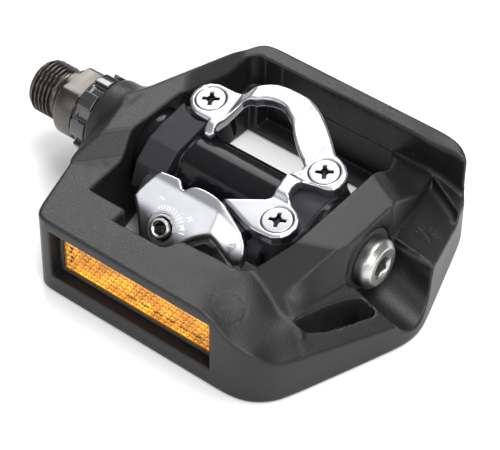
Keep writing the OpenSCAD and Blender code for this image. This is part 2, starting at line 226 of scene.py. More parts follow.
OUTLINE = eased([
    (28.6, -42.4), (84, -42.4), (88.2, -41.6), (91.6, -39.6), (94, -37), (95.4, -34.3), (96.8, -31),
    (103.3, -13.8), (106, -6.3), (106.9, -3.2), (107.2, 0), (106.9, 3.2), (106, 6.5), (104, 12.6),
    (97.5, 32.2), (95.6, 36.2), (92.4, 39.6), (88.6, 41.7), (84.6, 42.4), (31.2, 42.4), (28.9, 41.5),
    (27.3, 39.4), (17.9, 12.6), (16.3, 6), (15.8, 0), (16.2, -6), (17.4, -13), (25, -38.6), (26.2, -41.2)],
    2)
REAR_EDGE = [(30.6, -27.2), (41.8, -27.2), (41.8, -31.8), (55.8, -31.6), (56.9, -31), (58, -28),
             (59.2, -27.2), (75.2, -26.2), (76.5, -24.6), (82, -14.9), (82, 14.9)]
OPENING = eased(REAR_EDGE + [(81.9, 18.2), (81, 21.8), (79.5, 25.6), (76.6, 31.1), (74.6, 34), (72.6, 37),
                             (72, 37.4), (30.2, 37.4), (28.6, 35.6), (29.2, 31), (30.4, 24), (30.4, 14),
                             (29, 9.3), (27.8, -8.3), (29.8, -15.5)], 0.8, 2)
OPENING_LOW = REAR_EDGE + [(80.5, 24), (77.5, 31.5), (74.5, 33.3), (30.5, 33.3), (29.2, 12), (28.2, 8.8),
                           (28.2, -8.8), (29.8, -15.5)]
RIM_INNER = [(70, 37.4), (81.6, 37.2), (84.4, 36.2), (88.9, 33.9), (93.3, 31.8), (96.6, 30), (98.4, 28.2),
             (130, 20), (130, 8.6), (70, 8.6)]
STEP_IN = [(33, 30), (78, 28), (74.5, 37.8), (33, 37.8)]
SLOT = [(95.2, -12.4), (96.9, -9.3), (99.1, -8.3), (100.5, -8.5), (100.8, -9.4), (98.7, -15.3),
        (96.2, -21.4), (93.8, -25.2), (92.1, -26.2), (91, -26), (93.2, -17.7)]


def surface(points):
    """A thin-plate surface z(x, y) through the given points."""
    p = np.array(points, float)
    xy, zz = p[:, :2] / 50.0, p[:, 2]
    n = len(p)

    def kernel(d2):
        return 0.5 * d2 * np.log(d2 + 1e-9)

    a = np.zeros((n + 3, n + 3))
    a[:n, :n] = kernel(((xy[:, None] - xy[None]) ** 2).sum(2))
    a[:n, n] = 1
    a[:n, n + 1:] = xy
    a[n:, :n] = a[:n, n:].T
    w = np.linalg.solve(a + 1e-9 * np.eye(n + 3), np.concatenate([zz, [0, 0, 0]]))

    def f(x, y):
        x, y = np.broadcast_arrays(x / 50.0, y / 50.0)
        out = w[n] + w[n + 1] * x + w[n + 2] * y
        for i in range(n):
            out = out + w[i] * kernel((x - xy[i, 0]) ** 2 + (y - xy[i, 1]) ** 2)
        return out
    return f


# the fall from the rear bar to the rear outboard deck
ramp = surface([
    (44, -24, 6), (44, -44, 6), (52, -34, 6), (58, -24, 6), (66, -24, 6), (72, -25, 6), (76.3, -24.3, 5.7),
    (58, -44, 6), (66, -44, 6), (73, -43.5, 6), (71, -33, 6), (77.5, -35, 5.2), (79, -43, 5.3),
    (84.5, -42.6, 1.7), (87.4, -27.6, 0.4), (83, -30, 3.3), (90, -41, -0.8), (94, -37, -4.2),
    (95.8, -34.1, -5), (97.7, -29, -5.8), (99.5, -23.9, -6.6), (90.3, -26.9, -0.6), (93.6, -26.1, -2.8),
    (97.2, -23.6, -5.3), (101, -19.8, -7.4), (96, -16, -8), (88, -15, -5), (103, -12, -11), (82, -19, 0.5)])
# the valley between the bridge and the front bar
valley = surface([
    (82, 14.9, 10.9), (87.3, 12.4, 10.9), (92.6, 9.9, 10.9), (82, 18.3, 9), (81, 21.9, 6.4), (80, 25, 4.6),
    (76.6, 31.1, 1.6), (74.6, 34, -1), (72.5, 37, -3.8), (77.8, 33.3, -1), (81.4, 32.4, -1),
    (85.8, 30.4, -1), (88.3, 27.4, -1), (87.2, 30.1, -1.2), (85.1, 34.5, -2.2), (83.5, 37, -3),
    (79, 37.3, -3.6), (91, 17.5, 5.5), (89.5, 22.5, 2), (76, 38, -4.2), (60, 38, -5), (60, 15, 10.9),
    (70, 10, 12)])
# the top of the front bar and its fall to the outboard point
front_rim = surface([
    (44, 36, 6), (44, 44, 6), (52, 40, 6), (66, 40, 6), (60, 37, 6), (60, 43, 6), (72, 37, 6), (72, 43, 6),
    (80, 37, 6), (80, 43, 6), (85, 42.4, 6), (84.3, 36.3, 5.4), (88.8, 40.4, 6), (88.9, 33.9, 4.5),
    (92.6, 37.4, 5.6), (93.3, 31.8, 2.6), (95.4, 35.1, 3), (96.6, 32.6, -1.5), (96.6, 30, -3.4),
    (97.2, 31.2, -5.2), (97.8, 28.6, -6.4), (100, 22, -9)])


def over(z, h, slope=0.5):
    """How far z is over a height h whose steepest slope is about the one given."""
    return (z - h) / math.sqrt(1 + slope * slope)


def vwall(x, y, z):
    """Positive outboard of the bridge's V-shaped outer wall."""
    yy = np.clip(y, -27.2, -8)
    draft = np.clip((-0.96 - 0.229 * yy) / (16.99 + 0.583 * yy), 0.06, 4.5)
    rear = (x - (93.2 + 0.182 * (y + 8.2)) + draft * np.clip(z, -1, 12)) / np.sqrt(1 + draft * draft)
    front = x - (93.4 - 0.285 * (y - 8.9)) + 0.04 * np.clip(z + 4, 0, 15)
    return np.where(y < 0, rear, front)


def f_cage(x, y, z):
    body = smax(smax(poly2d(x, y, OUTLINE), -FLAT - z, 1.0), z - LAND, 0.6)
    # inboard half: facets that rise from the bars to the land, cut by a bevel towards the crank
    fa = plane(x, y, z, (22.8, -14.5, LAND), -0.30, 0.445)
    fc = plane(x, y, z, (24.5, 16.2, LAND), -0.323, -0.21)
    step = plane(x, y, z, (25.3, -11.2, LAND), -0.78, 0.66)
    inboard = np.where(y < 0, smin(smax(fa, step, 0.25), z - RIM, 0.4), smin(fc, z - RIM, 0.4))
    bevel = np.where(y < 0, plane(x, y, z, (18.8, 0, LAND), 0.808, 0.2235),
                     plane(x, y, z, (18.8, 0, LAND), 0.8805, -0.3004))
    inboard = smax(inboard, bevel, 0.5)
    # outboard half, behind: land, long facet and ramp
    land = z - LAND
    edge_r = smax(plane(x, y, z, (82, -14.9, LAND), -0.344, 0.730), land, 0.35)
    fall = over(z, ramp(x, y))
    behind = smin(smax(edge_r, 75.9 - x, 0.3), fall, 0.6)
    # outboard half, in front: land, valley and front bar
    dip = smax(over(z, valley(x, y), 0.7), land, 0.4)
    bar = over(z, front_rim(x, y), 0.35)
    ahead = np.where(y > 30, smin(dip, smax(bar, 37.4 - y, 1.2), 2.2), dip)
    edge_f = np.where(x > 80.5, dip, land)
    near = np.where(y < 0, edge_r, np.where(y > 6, edge_f, land))
    outboard = np.where(y < -14.0, behind, np.where(y > 14.0, ahead, near))
    mix = np.clip((x - 45) / 12, 0, 1)
    body = smax(body, inboard * (1 - mix) + outboard * mix, 0.5)
    # decks outboard of the bridge
    vw = vwall(x, y, z)
    deck_r = plane(x, y, z, (93.2, -8.6, 0), -0.689, 0.1273)
    deck_f = plane(x, y, z, (93.7, 9, 0.5), -0.157, -0.294)
    cut_r = smax(smax(-smin(deck_r, fall, 0.5), -vw, 0.25), y + 1.0, 0.3)
    body = smax(body, -cut_r, 0.3)
    cut_f = smax(smax(smax(poly2d(x, y, RIM_INNER) + 0.16 * (deck_f - 6), -deck_f, 3.5), -vw, 0.3), 1.0 - y,
                 0.3)
    body = smax(body, -cut_f, 0.5)
    # face of the bridge over the cap
    face = smax(smax(95.2 - 0.235 * np.abs(y) - x, np.abs(y) - 9.2, 0.3), -1.0 - z, 0.3)
    body = smax(body, -face, 0.5)
    # key channel
    ang = math.radians(23)
    a = (x - 92.2) * math.cos(ang) - (z - 0.2) * math.sin(ang)
    b = (x - 92.2) * math.sin(ang) + (z - 0.2) * math.cos(ang)
    half = 8.75 - 0.117 * np.clip(a, 0, 30)
    chan = np.where(b < 0, apart(y, b), np.abs(y)) - half
    body = smax(body, -smax(chan, 92.4 - x, 0.8), 0.4)
    # opening, with the set-back lower wall of the front bar, and the slot in the rear deck
    body = smax(body, -smax(poly2d(x, y, OPENING), -4.0 - z, 0.5), 0.6)
    body = smax(body, -poly2d(x, y, OPENING_LOW), 0.6)
    body = smax(body, -smax(poly2d(x, y, STEP_IN), span(z, -14.3, -3.6), 0.4), 0.4)
    body = smax(body, -poly2d(x, y, SLOT, 0.25), 0.35)
    # boss and bores
    body = smin(body, cyl_x(x, y, z, 10.9, 13, 21, 1.0), 1.2)
    rad = apart(y, z)
    body = smax(body, -smax(rad - 9.45, x - 40, 0.3), 0.5)
    body = smax(body, -smax(rad - 9.8, span(x, 75, 86.8), 0.3), 0.3)
    body = smax(body, -smax(rad - 7.45, 80 - x, 0.3), 0.3)
    body = smax(body, -smax(rad - 8.3, 91.5 - x, 0.3), 0.4)
    # reflector windows
    for s, depth in ((-1, 37.9), (1, 38.8)):
        body = smax(body, -box3(x, y * s, z, (30.5, depth, -11.3), (78.9, 50, 3.1), 0.25), 0.3)
    # hollows in the flat side of the rear bar
    for x0, x1 in ((31, 39.6), (59.4, 74)):
        body = smax(body, -box3(x, y, z, (x0, -36.8, -30), (x1, -29.8, 0.3), 0.8), 0.5)
    # date dial on the front deck: a sunk ring of ticks and a pointer
    dx, dy = x - 97.1, y - 17.9
    r = apart(dx, dy)
    turn = np.arctan2(dy, dx) / (2 * math.pi)
    ticks = 12
    tick = np.abs(((turn * ticks) % 1) - 0.5) * 2 * math.pi / ticks * r
    dial = smax(r - 3.1, -(deck_f + 0.22), 0.05)
    rays = np.maximum(tick - 0.34, np.abs(r - 2.45) - 0.45)
    pointer = np.maximum(np.abs(dx * 0.5 + dy * 0.87) - 0.3, r - 1.5)
    body = np.maximum(body, -np.maximum(dial, -np.minimum(rays, pointer)))
    # ejector mark on the rear bar
    ring = np.abs(apart(x, y, 79.5, -35.9) - 3.9) - 0.12
    return smax(body, -np.maximum(ring, -fall - 0.12), 0.08)


# ---------- turned parts ----------

def ring_faces(rings, n):
    """The quads between each ring of n points and the next."""
    return [(i * n + j, i * n + (j + 1) % n, (i + 1) * n + (j + 1) % n, (i + 1) * n + j)
            for i in range(rings - 1) for j in range(n)]


def lathe(name, stations, n):
    """A closed turned shape along X. Each station is (x, r), and r may be a function of the angle from +Y."""
    th = np.arange(n) * 2 * math.pi / n
    rows = []
    for x, r in stations:
        rr = r(th) if callable(r) else np.full(n, float(r))
        rows.append(np.stack([np.full(n, float(x)), rr * np.cos(th), rr * np.sin(th)], 1))
    verts = np.concatenate(rows)
    faces = ring_faces(len(rows), n)
    a, b = len(verts), len(verts) + 1
    verts = np.concatenate([verts, [[rows[0][:, 0].mean(), 0, 0], [rows[-1][:, 0].mean(), 0, 0]]])
    last = (len(rows) - 1) * n
    for j in range(n):
        k = (j + 1) % n
        faces.append((a, k, j))
        faces.append((b, last + j, last + k))
    return solid(name, verts, faces)


def solid(name, verts, faces, smooth=True, merge=1e-8, out=0):
    """A mesh from vertices in mm: a closed one faces outwards, and an open one towards out along Y."""
    me = bpy.data.meshes.new(name)
    me.from_pydata([tuple(v) for v in np.asarray(verts) * MM], [], [tuple(int(i) for i in f) for f in faces])
    bm = bmesh.new()
    bm.from_mesh(me)
    bmesh.ops.remove_doubles(bm, verts=bm.verts, dist=merge)
    bmesh.ops.recalc_face_normals(bm, faces=bm.faces)
    bm.faces.ensure_lookup_table()
    if bm.faces[0].normal.y * out < 0:
        bmesh.ops.reverse_faces(bm, faces=bm.faces)
    bm.to_mesh(me)
    bm.free()
    if smooth:
        me.polygons.foreach_set("use_smooth", np.ones(len(me.polygons), bool))
    me.update()
    return linked(name, me)


def tilted(ob):
    """Turns a mesh drawn in the binding's own frame to where the binding stands at rest."""
    ob.data.transform(Matrix.Rotation(TILT, 4, "X"))
    return ob


def placed(ob, m):
    """Moves a mesh by a matrix whose translation is in mm."""
    m = m.copy()
    m.translation = m.translation * MM
    ob.data.transform(m)
    return ob


def sharp(ob, angle):
    """Splits the shading at hard edges."""
    bm = bmesh.new()
    bm.from_mesh(ob.data)
    lim = math.radians(angle)
    for e in bm.edges:
        if len(e.link_faces) == 2 and e.calc_face_angle(0) > lim:
            e.smooth = False
    bm.to_mesh(ob.data)
    bm.free()


def flat_r(r, half):
    """Radius function of a round bar with flats at z = half and z = -half, eased at their edges."""
    def f(th):
        a = half / np.maximum(np.abs(np.sin(th)), 1e-3)
        return smin(np.full_like(th, r), a, 0.18)
    return f


def hex_r(af):
    """Radius function of a hexagon of width af across its flats."""
    def f(th):
        return af / 2 / np.cos((th + math.pi / 6) % (math.pi / 3) - math.pi / 6)
    return f


def thread_r(x, root, crest, pitch):
    """Radius function of a right-hand thread at station x."""
    def f(th):
        ph = (x / pitch - th / (2 * math.pi)) % 1.0
        tri = np.clip(1.9 * (1 - np.abs(2 * ph - 1)) - 0.45, 0, 1)
        return root + (crest - root) * tri
    return f


def spindle_stations():
    """From the bottom of the hex key socket, out round the threaded end and along the shaft."""
    pitch, end, root_end, flats = 1.27, -9.08, -0.95, 7.5
    st = [(-1.4, 0.6), (-1.8, 1.6), (-1.9, hex_r(7.9)), (-9.0, hex_r(7.95)), (-9.2, hex_r(8.15)),
          (-9.2, 5.6), (-9.2, 6.0)]
    x = end
    while x < root_end:
        crest = min(7.12, 6.18 + (x - end) * 0.62)
        root = min(6.42, 6.1 + (x - end) * 0.3)
        fade = min(1.0, max(0.0, (-1.6 - x) / 0.5))
        st.append((x, thread_r(x, root, root + (crest - root) * fade, pitch)))
        x += 0.105
    st += [(root_end, 6.42), (-0.7, 6.6), (-0.25, 6.75), (-0.12, 6.9)]
    st += [(x, flat_r(r, flats)) for x, r in ((0.0, 7.3), (0.18, 7.5), (1.5, 8.9), (1.75, 9.0), (6.9, 9.0))]
    st += [(7.15, flat_r(8.75, 7.45)), (7.2, 7.47), (7.2, 5.55), (7.3, 5.5), (67.9, 5.5), (68, 5.45),
           (71, 4.2), (83.9, 4.2), (84, 4.0)]
    return st


spindle = lathe("spindle_turned", spindle_stations(), 128)
sharp(spindle, 28)


def f_lock(x, y, z):
    d = cyl_x(x, y, z, 10.45, 8.3, 12.8, 0.45)
    r = apart(y, z)
    th = np.arctan2(z, y)
    a = (th - math.radians(102) + math.pi / 8) % (math.pi / 4) - math.pi / 8
    d = smax(d, -smax(np.abs(r * np.sin(a)) - 1.7, 8.85 - r, 0.3), 0.35)
    d = smin(d, cyl_x(x, y, z, 9.1, 7.9, 9.0, 0.3), 0.25)
    d = smax(d, -smax(r - 8.75, x - 8.6, 0.2), 0.2)
    return smax(d, 5.85 - r, 0.2)


lock_ring = mesh_field("lock_ring_castellated", f_lock, (7.4, -11, -11), (13.3, 11, 11), 0.2)


# ---------- binding body ----------

LOBES = [(36.9, 12.1), (74, 8.8), (73.5, -8.8)]
PIN = (-12.5, 1.5)
COLLAR = [(-5.1, 9.8), (8, 9.8), (10.6, 5), (10.6, -5), (7, -9.4), (-7, -9.4), (-14, -4), (-14, 1),
          (-10.6, 6.6)]
KEEL = [(-7, -3), (-7, -8.2), (-11, -8.2), (-12, -6.4)]
BLOCK = [(-10, 8), (10, 8), (11.5, 4), (11.5, -5), (7, -9.4), (-7, -9.4), (-11.5, -5), (-11.5, 4)]


def from_pin(y, z):
    """Distance from the rear claw's pin."""
    return apart(y, z, *PIN)


def f_body(x, y, z):
    """Everything here is in the binding's own frame, so the journals are turned about the same axis."""
    d = cyl_x(x, y, z, 8.6, 30, 86.7, 0.4)
    d = smin(d, cyl_x(x, y, z, 9.4, 13, 32.6, 0.4), 0.5)
    collar = smax(poly2d(y, z, COLLAR), span(x, 31.2, 40.2), 0.35)
    d = smin(d, collar, 1.1)
    block = smax(poly2d(y, z, BLOCK), span(x, 68.4, 79.3), 0.5)
    d = smin(d, block, 1.0)
    d = smin(d, cyl_x(x, y, z, 9.5, 79.0, 81.4, 0.4), 0.6)
    d = smin(d, cyl_x(x, y, z, 7.35, 84, 91.5, 0.3), 0.3)
    for px, py in LOBES:
        boss = smax(apart(x, y, px, py) - 5.1, span(z, -2, 7.98), 0.4)
        d = smin(d, boss, 0.9)
    d = smin(d, box3(x, y, z, (33, 4, -3), (40.2, 12, 5)), 0.8)
    for x0, x1 in ((35.6, 40.2), (68.4, 72.4)):
        arm = box3(x, y, z, (-99, PIN[0], PIN[1] - 4.1), (999, -3, PIN[1] + 4.1), 0.3)
        lug = np.minimum(from_pin(y, z) - 4.15, arm)
        d = smin(d, smax(lug, span(x, x0, x1), 0.4), 0.7)
    d = smin(d, smax(poly2d(y, z, KEEL), span(x, 55, 62), 0.3), 0.5)
    # seat that lets the inboard lobe of the front claw in
    seat = smax(apart(x, y, *LOBES[0]) - 6.35, 7.98 - z, 0.2)
    d = smax(d, -seat, 0.25)
    d = smax(d, -box3(x, y, z, (35.5, 6.6, 7.98), (46, 20, 20), 0.3), 0.25)
    # bores
    for r, x0, x1 in ((6.45, 10, 39.5), (6.2, 39, 72), (7.5, 71.5, 79), (6.8, 78.8, 85), (8.35, 10, 18),
                      (3.25, 84, 95)):
        d = smax(d, -cyl_x(x, y, z, r, x0, x1, 0.2), 0.2)
    d = smax(d, -cyl_x(x, y, z, 2.05, 34.9, 72.3, 0.2, *PIN), 0.2)
    for px, py in LOBES:
        d = np.maximum(d, -np.maximum(apart(x, y, px, py) - 2.0, 3.4 - z))
    return d


body = tilted(mesh_field("binding_body", f_body, (12.4, -17.6, -10.4), (92.2, 18, 11), 0.42))


# ---------- front claw ----------

CLAW_PLAN = [(
    32.2, 9.6), (31.7, 12), (32.1, 14.4), (33.5, 16.2), (35.7, 17.2), (38.3, 17.3), (40.7, 17.3),
    (42.1, 17.6), (43.9, 18.5), (45.4, 19.7), (46.6, 20.9), (48.1, 22.3), (49.9, 23.2), (52.3, 23.7),
    (55.5, 23.8), (58.5, 23.7), (61.3, 22.9), (63.9, 21.7), (67.1, 19.6), (69.1, 18.1), (71.1, 16.4),
    (73.1, 14.6), (75.1, 14.1), (77.1, 13.2), (78.9, 11.6), (79.7, 9.6), (79.8, 7.4), (79.1, 5.7), (78.2, 5),
    (76.4, 4.5), (74.8, 4.3), (72.9, 3.8), (71.8, 3.2), (71.2, 2.2), (71, 0.5), (71.5, -1.3), (72.6, -2.7),
    (74.1, -3.5), (76.2, -4.4), (77.9, -5.9), (78.9, -8), (78.6, -10.4), (77.4, -12.5), (75.4, -13.8),
    (73, -14.1), (71, -14.2), (69.6, -14.2), (68.6, -13.9), (60.2, -11.3), (58.6, -10.7), (67.2, -5.2),
    (67.9, -4.3), (67.9, -2.6), (67.3, 1.3), (67.2, 3.1), (67.9, 4.6), (68.9, 6.3), (68.8, 7.6), (67.6, 8.9),
    (65.7, 9.9), (64, 11.1), (61.9, 12.9), (60.1, 14.7), (58.9, 15.9), (57.1, 17), (55.5, 18), (53.8, 18.3),
    (51.6, 18), (49.6, 17.1), (48.3, 16), (47.2, 15.6), (46.6, 15.2), (45.2, 14.4), (44.7, 13), (44.2, 11),
    (43.9, 9), (43.4, 7.4), (43.4, 5.6), (44, 4.3), (43.2, 3.2), (41.5, 3.2), (40.7, 4.6), (40.5, 6.4),
    (38.5, 6.4), (36.4, 6.5), (34.4, 7.3)]


def claw_height(x, y):
    """The top of the front claw: flat lobes, a raised loop, a neck and a tab."""
    s1 = np.clip((x - 42.6 + 0.12 * (y - 15)) / 4.4, 0, 1)
    s1 = s1 * s1 * (3 - 2 * s1)
    s2 = np.clip((69.3 - x) / 8.2, -1, 2)
    s2 = smin(smax(s2, np.zeros_like(s2), 0.06), np.ones_like(s2), 0.28)
    up = 3.1 * np.minimum(s1, s2) * np.clip((y - 3.5) / 2.5, 0, 1)
    neck = 0.95 * smin(np.clip((y + 3.5) / 1.3, 0, 1), np.clip((4.2 - y) / 1.3, 0, 1),
                       0.25) * np.clip((x - 62) / 3, 0, 1)
    tab = -0.55 * np.clip(5.9 - y, 0, 9) * (x < 50)
    return 11.0 + up + neck + tab


def f_front_claw(x, y, z):
    plan = poly2d(x, y, CLAW_PLAN)
    top = claw_height(x, y)
    lip = np.clip((top - 11.2) / 2.5, 0, 1)
    above = z - (top - 0.10 * lip * np.clip(y - 19, 0, 9))
    under = top - np.where((x < 50) & (y < 6), 1.8, 2.9) - z
    d = smax(smax(plan, above / 1.05, 0.85), under, 0.3)
    for px, py in LOBES:
        r = apart(x, y, px, py)
        cone = (r - (2.2 + np.clip(z - 9.1, 0, 1.5))) * 0.75
        sink = np.minimum(r - 2.2, np.where(z > 10.45, r - 3.86, cone))
        d = smax(d, -sink, 0.12)
    return smax(d, -cyl_x(x, y, z, 8.66, 30, 90, 0.2), 0.15)


front_claw = tilted(mesh_field("front_claw_plate", f_front_claw, (31.0, -15.0, 6.6), (80.6, 24.7, 15.2), 0.3))


def f_screw(x, y, z):
    """One countersunk cross-recess screw on the Z axis, with its head at the height of the claw."""
    head_r, head_top, shank_r, cone_foot = 3.68, 10.97, 1.95, 9.15
    r = apart(x, y)
    head = smax(r - head_r, z - head_top, 0.16)
    cone = (r - (2.05 + np.clip(z - cone_foot, 0, 3) * 1.05)) * 0.7
    d = np.where(z < 10.5, smax(head, cone, 0.05), head)
    d = np.maximum(np.where(z > cone_foot, d, r - shank_r), 3.8 - z)
    u, v = np.abs(x), np.abs(y)
    taper = np.clip(head_top - z, 0, 3) * 0.35
    arm = np.minimum(np.maximum(v - 0.46, u - 2.15 + taper), np.maximum(u - 0.46, v - 2.15 + taper))
    well = smin(arm, r - 1.05, 0.25)
    return smax(d, -np.maximum(well, 9.3 - z), 0.1)


def joined(name, obs):
    """One object from several, all at the origin."""
    bm = bmesh.new()
    for o in obs:
        bm.from_mesh(o.data)
    me = bpy.data.meshes.new(name)
    bm.to_mesh(me)
    bm.free()
    for o in obs:
        bpy.data.objects.remove(o)
    me.polygons.foreach_set("use_smooth", np.ones(len(me.polygons), bool))
    return linked(name, me)


screw = mesh_field("screw", f_screw, (-4, -4, 3.4), (4, 4, 11.4), 0.14)
screws = []
for (px, py), turn in zip(LOBES, (28, 33, 22)):
    o = bpy.data.objects.new("screw_copy", screw.data.copy())
    screws.append(placed(o, Matrix.Translation((px, py, 0)) @ Matrix.Rotation(math.radians(turn), 4, "Z")))
bpy.data.objects.remove(screw)
claw_screws = tilted(joined("claw_screws_cross", screws))


# ---------- rear claw ----------

REAR_PLAN = [(
    42.4, -13.2), (45.2, -12.8), (47.9, -12.6), (48.9, -13.4), (49.7, -14.3), (50.5, -14.3), (51.1, -13.4),
    (52, -12.7), (53.2, -12.3), (54.9, -12.1), (57, -12.1), (58.9, -12.3), (60.9, -12.7), (64.6, -13.9),
    (67.6, -15), (69.4, -16.4), (70.2, -18.1), (69.9, -19.6), (68.4, -20.6), (66.2, -20.5), (63, -19.7),
    (61.4, -19.6), (59.3, -20.6), (57.4, -21.8), (56.2, -22.8), (54.6, -24.6), (53.6, -27.4), (52.6, -28.4),
    (46, -28.4), (44.6, -26.8), (43.2, -24.8), (41.2, -22.6), (38.3, -19.7), (38.9, -18.3)]
BOLT = (48.9, -22.7, 5.0)
EAR = [(-15.6, 1.5), (-9.9, 1.5), (-11.4, 7.2), (-14.6, 7.6), (-18.5, 6.4), (-19.6, 5)]
SLOPE = math.radians(43)  # of the plate that the bolt stands on


def rear_height(x, y):
    """The top of the rear claw: a sloping plate that turns into a lip, with a drooping wing."""
    plate = 5 + 0.9325 * (y + 22.7)
    lip = 12.1 + 0.33 * (y + 15.3)
    h = smin(plate, lip, 0.55)
    wing = smax(x - 61.3, 0 * x, 1.1)
    return h - 0.5 * wing


def bolt_axis(x, y, z):
    """Distance from the adjusting bolt's axis and height along it."""
    c, s = math.cos(SLOPE), math.sin(SLOPE)
    dy, dz = y - BOLT[1], z - BOLT[2]
    return np.sqrt((x - BOLT[0]) ** 2 + (dy * c + dz * s) ** 2), -dy * s + dz * c


def f_rear_claw(x, y, z):
    plan = poly2d(x, y, REAR_PLAN)
    top = rear_height(x, y)
    above = (z - top) / 1.36
    under = (top - 3.1 - z) / 1.36
    d = smax(smax(plan, above, 0.8), under, 0.4)
    for x0, x1 in ((40.4, 44.3), (63.8, 67.1)):
        ear = smin(from_pin(y, z) - 3.35, poly2d(y, z, EAR), 0.5)
        d = smin(d, smax(ear, span(x, x0, x1), 0.4), 0.5)
    d = smax(d, -cyl_x(x, y, z, 2.06, 30, 90, 0.1, *PIN), 0.15)
    rad, along = bolt_axis(x, y, z)
    ring = np.abs(rad - 3.95) - 0.12
    d = smin(d, smax(ring, np.abs(along) - 0.1, 0.1), 0.15)
    d = smax(d, -(rad - 2.1), 0.15)
    return smax(d, -np.maximum(rad - 2.8, -0.98 - along), 0.2)


rear_claw = tilted(mesh_field("rear_claw_plate", f_rear_claw, (37.6, -29.2, -4.6), (71.2, -8.6, 14.2), 0.3))


def on_plate(u, v, lift):
    """A point on the rear claw's sloping plate: u along X and v up the slope from the bolt, in mm."""
    y = BOLT[1] + v * math.cos(SLOPE) - lift * math.sin(SLOPE)
    z = BOLT[2] + v * math.sin(SLOPE) + lift * math.cos(SLOPE) + 0.02
    return Vector((BOLT[0] + u, y, z))


def strip(bm, a, b, w, w2=None):
    """A low raised mark on the plate from a to b, of width w, or w at a and w2 at b."""
    foot, height = -0.12, 0.05
    a, b = Vector(a), Vector(b)
    n = Vector((b.y - a.y, a.x - b.x)).normalized()
    w2 = w if w2 is None else w2
    low = [a + n * w / 2, b + n * w2 / 2, b - n * w2 / 2, a - n * w / 2]
    mid = (a + b) / 2
    vs = [bm.verts.new(on_plate(p.x, p.y, foot) * MM) for p in low]
    ts = [bm.verts.new(on_plate(mid.x + (p.x - mid.x) * 0.92, mid.y + (p.y - mid.y) * 0.86, height) * MM)
          for p in low]
    bm.faces.new(ts)
    bm.faces.new(vs[::-1])
    for i in range(4):
        j = (i + 1) % 4
        bm.faces.new((vs[i], vs[j], ts[j], ts[i]))


def scale_marks(name):
    """A fan of ticks that lengthen, a minus, a plus and a wedge under the bolt's collar."""
    bm = bmesh.new()
    for i in range(13):
        a = math.radians(124 - i * 9.2)
        r0, r1 = 4.75, 5.55 + 0.075 * i
        strip(bm, (r0 * math.cos(a), r0 * math.sin(a)), (r1 * math.cos(a), r1 * math.sin(a)), 0.2, 0.3)
    strip(bm, (-3.7, 6.6), (-2.1, 6.6), 0.36)
    strip(bm, (5.2, 5.4), (7.0, 5.4), 0.34)
    strip(bm, (6.1, 4.5), (6.1, 6.3), 0.34)
    strip(bm, (4.75, 1.7), (5.2, 3.0), 0.05, 1.1)
    bmesh.ops.recalc_face_normals(bm, faces=bm.faces)
    me = bpy.data.meshes.new(name)
    bm.to_mesh(me)
    bm.free()
    return tilted(linked(name, me))


claw_marks = scale_marks("claw_scale_marks")


# ---------- adjusting bolt and end cap ----------

def hex_d(u, v, af):
    """Distance to a hexagon of width af across its flats."""
    d = np.abs(v)
    for a in (60, 120):
        d = np.maximum(d, np.abs(v * math.cos(math.radians(a)) - u * math.sin(math.radians(a))))
    return d - af / 2


def f_bolt(x, y, z):
    r = apart(x, y)
    d = smax(r - 2.62, np.maximum(z - 1.25, -0.9 - z), 0.3)
    thread = 1.97 - 0.16 * np.abs(((z / 0.8 - np.arctan2(y, x) / (2 * math.pi)) % 1) * 2 - 1)
    d = smin(d, np.maximum(r - thread, np.maximum(-11 - z, z + 0.5)), 0.1)
    hole = smin(hex_d(x, y, 2.95), r - 1.95 + (1.25 - z), 0.05)
    return smax(d, -np.maximum(hole, -1.3 - z), 0.12)


bolt = mesh_field("adjust_bolt_hex", f_bolt, (-3, -3, -11.3), (3, 3, 1.6), 0.13)
placed(bolt, Matrix.Rotation(TILT, 4, "X") @ Matrix.Translation(BOLT) @ Matrix.Rotation(SLOPE, 4, "X"))


def f_cap(x, y, z):
    r = apart(y, z)
    d = smax(r - 6.5, span(x, 92.32, 96.7), 0.4)
    d = smax(d, (r - 5.0 + (x - 96.7) * 0.95) * 0.72, 0.4)
    d = smin(d, np.maximum(r - 3.15, span(x, 86, 93)), 0.1)
    c, s = math.cos(math.radians(12)), math.sin(math.radians(12))
    sock = smin(hex_d(y * c + z * s, z * c - y * s, 5.0), (r - 3.1 + (96.7 - x) * 0.9) * 0.75, 0.06)
    return smax(d, -np.maximum(sock, 93.4 - x), 0.18)


cap = mesh_field("end_cap_turned", f_cap, (85.6, -7.3, -7.3), (97.2, 7.3, 7.3), 0.17)


# ---------- springs ----------

def tube(name, pts, r, n=10):
    """A round wire along a list of points, in mm."""
    pts = [Vector(p) for p in pts]
    verts = []
    prev = None
    for i, p in enumerate(pts):
        t = (pts[min(i + 1, len(pts) - 1)] - pts[max(i - 1, 0)]).normalized()
        if prev is None:
            a = t.orthogonal().normalized()
        else:
            a = (prev - t * prev.dot(t)).normalized()
        prev = a
        b = t.cross(a)
        for j in range(n):
            th = 2 * math.pi * j / n
            verts.append(p + (a * math.cos(th) + b * math.sin(th)) * r)
    faces = ring_faces(len(pts), n)
    faces.append(tuple(range(n))[::-1])
    faces.append(tuple((len(pts) - 1) * n + j for j in range(n)))
    return solid(name, [tuple(v) for v in verts], faces)


def coil(x0, x1, turns, r, cy, cz, a0, steps=28):
    """The centre line of a spring round an axis along X."""
    out = []
    m = int(turns * steps)
    for i in range(m + 1):
        a = a0 + 2 * math.pi * i / steps
        out.append((x0 + (x1 - x0) * i / m, cy + r * math.cos(a), cz + r * math.sin(a)))
    return out


